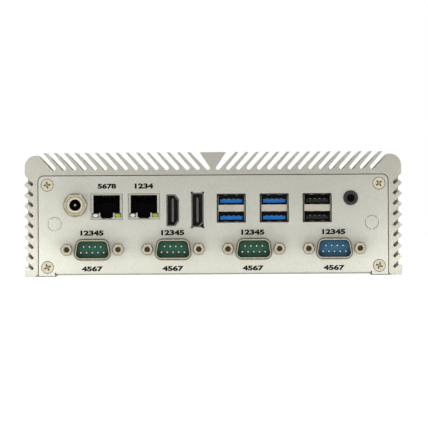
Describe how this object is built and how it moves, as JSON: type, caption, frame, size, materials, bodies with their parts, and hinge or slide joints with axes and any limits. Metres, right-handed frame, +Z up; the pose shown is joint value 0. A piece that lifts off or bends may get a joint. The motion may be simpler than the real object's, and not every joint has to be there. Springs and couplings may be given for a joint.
{
  "type": "fanless industrial pc",
  "caption": "Flat fanless computer case: finned aluminium extrusion, end panels, base plate, and a panel of power, network, video, USB, audio and serial ports.",
  "frame": {"origin": "middle of the four bracket holes, on the plane that the case stands on", "axes": "+X to the right across the connector panel, +Y from the connector panel to the rear panel, +Z up towards the fins"},
  "size_m": [0.1836, 0.14, 0.06],
  "materials": {
    "case_paint": "fine-grained silver paint",
    "panel_paint": "fine-grained light silver paint",
    "nickel": "bright nickel plate",
    "screw_steel": "warm plated steel",
    "tinned_sheet": "tinned sheet, satin",
    "dark_shell": "dark plated sheet",
    "gold": "gold-flashed contact",
    "black_plastic": "moulded, matt",
    "audio_plastic": "moulded, half gloss",
    "usb_blue": "moulded, half gloss",
    "serial_green": "moulded, matt",
    "serial_blue": "moulded, matt",
    "clear_lamp": "milky light pipe",
    "green_lamp": "tinted light pipe",
    "status_lens": "tinted lens",
    "board_laminate": "lacquered circuit board",
    "bare_aluminium": "milled",
    "pad_grey": "soft pad",
    "chip_black": "moulded package",
    "cell_steel": "bright can",
    "lead_grey": "flat ribbon",
    "cap_metal": "satin"
  },
  "bodies": {
    "case": {"audio_jack_body": "audio_plastic", "audio_jack_ring": "nickel", "base_plate": "panel_paint", "base_plate_screws": "screw_steel", "board_screws": "screw_steel", "board_standoffs": "nickel", "case_extrusion": "case_paint", "clock_cell": "cell_steel", "clock_cell_holder": "black_plastic", "dc_jack_barrel": "nickel", "dc_jack_housing": "black_plastic", "dc_jack_nut": "nickel", "dc_jack_pin": "nickel", "dc_jack_washer": "nickel", "drive": "bare_aluminium", "drive_lead": "lead_grey", "drive_screws": "screw_steel", "drive_tray": "tinned_sheet", "drive_tray_screws": "screw_steel", "heat_spreader": "bare_aluminium", "heat_spreader_screws": "screw_steel", "io_panel": "panel_paint", "io_panel_screws": "screw_steel", "lead_plugs": "black_plastic", "link_lamps_clear": "clear_lamp", "link_lamps_green": "green_lamp", "main_board": "board_laminate", "memory_module": "board_laminate", "memory_socket": "black_plastic", "network_jack_contacts": "gold", "network_jack_housings": "black_plastic", "network_jack_shells": "tinned_sheet", "power_button_barrel": "nickel", "power_button_nut": "nickel", "power_coils": "chip_black", "processor_package": "chip_black", "rear_panel": "panel_paint", "rear_panel_screws": "screw_steel", "serial_board": "board_laminate", "serial_board_screws": "screw_steel", "serial_board_spacers": "nickel", "serial_insert_blue": "serial_blue", "serial_inserts_green": "serial_green", "serial_jackscrews": "nickel", "serial_lead": "lead_grey", "serial_port_pins": "gold", "serial_port_shells": "nickel", "status_lamps": "status_lens", "thermal_pad": "pad_grey", "usb_contacts": "gold", "usb_inserts_black": "black_plastic", "usb_inserts_blue": "usb_blue", "usb_stack_shells": "tinned_sheet", "video_socket_a_insert": "black_plastic", "video_socket_a_shell": "dark_shell", "video_socket_b_insert": "black_plastic", "video_socket_b_shell": "dark_shell", "video_socket_contacts": "gold"},
    "power_button": {"power_button_cap": "cap_metal"}
  },
  "joints": [
    {"name": "power_button_press", "type": "slide", "parent": "case", "child": "power_button", "axis": [0, -1, 0], "range_m": [0, 0.0012], "stiffness_N_per_m": 800, "springref_m": -0.0005}
  ]
}
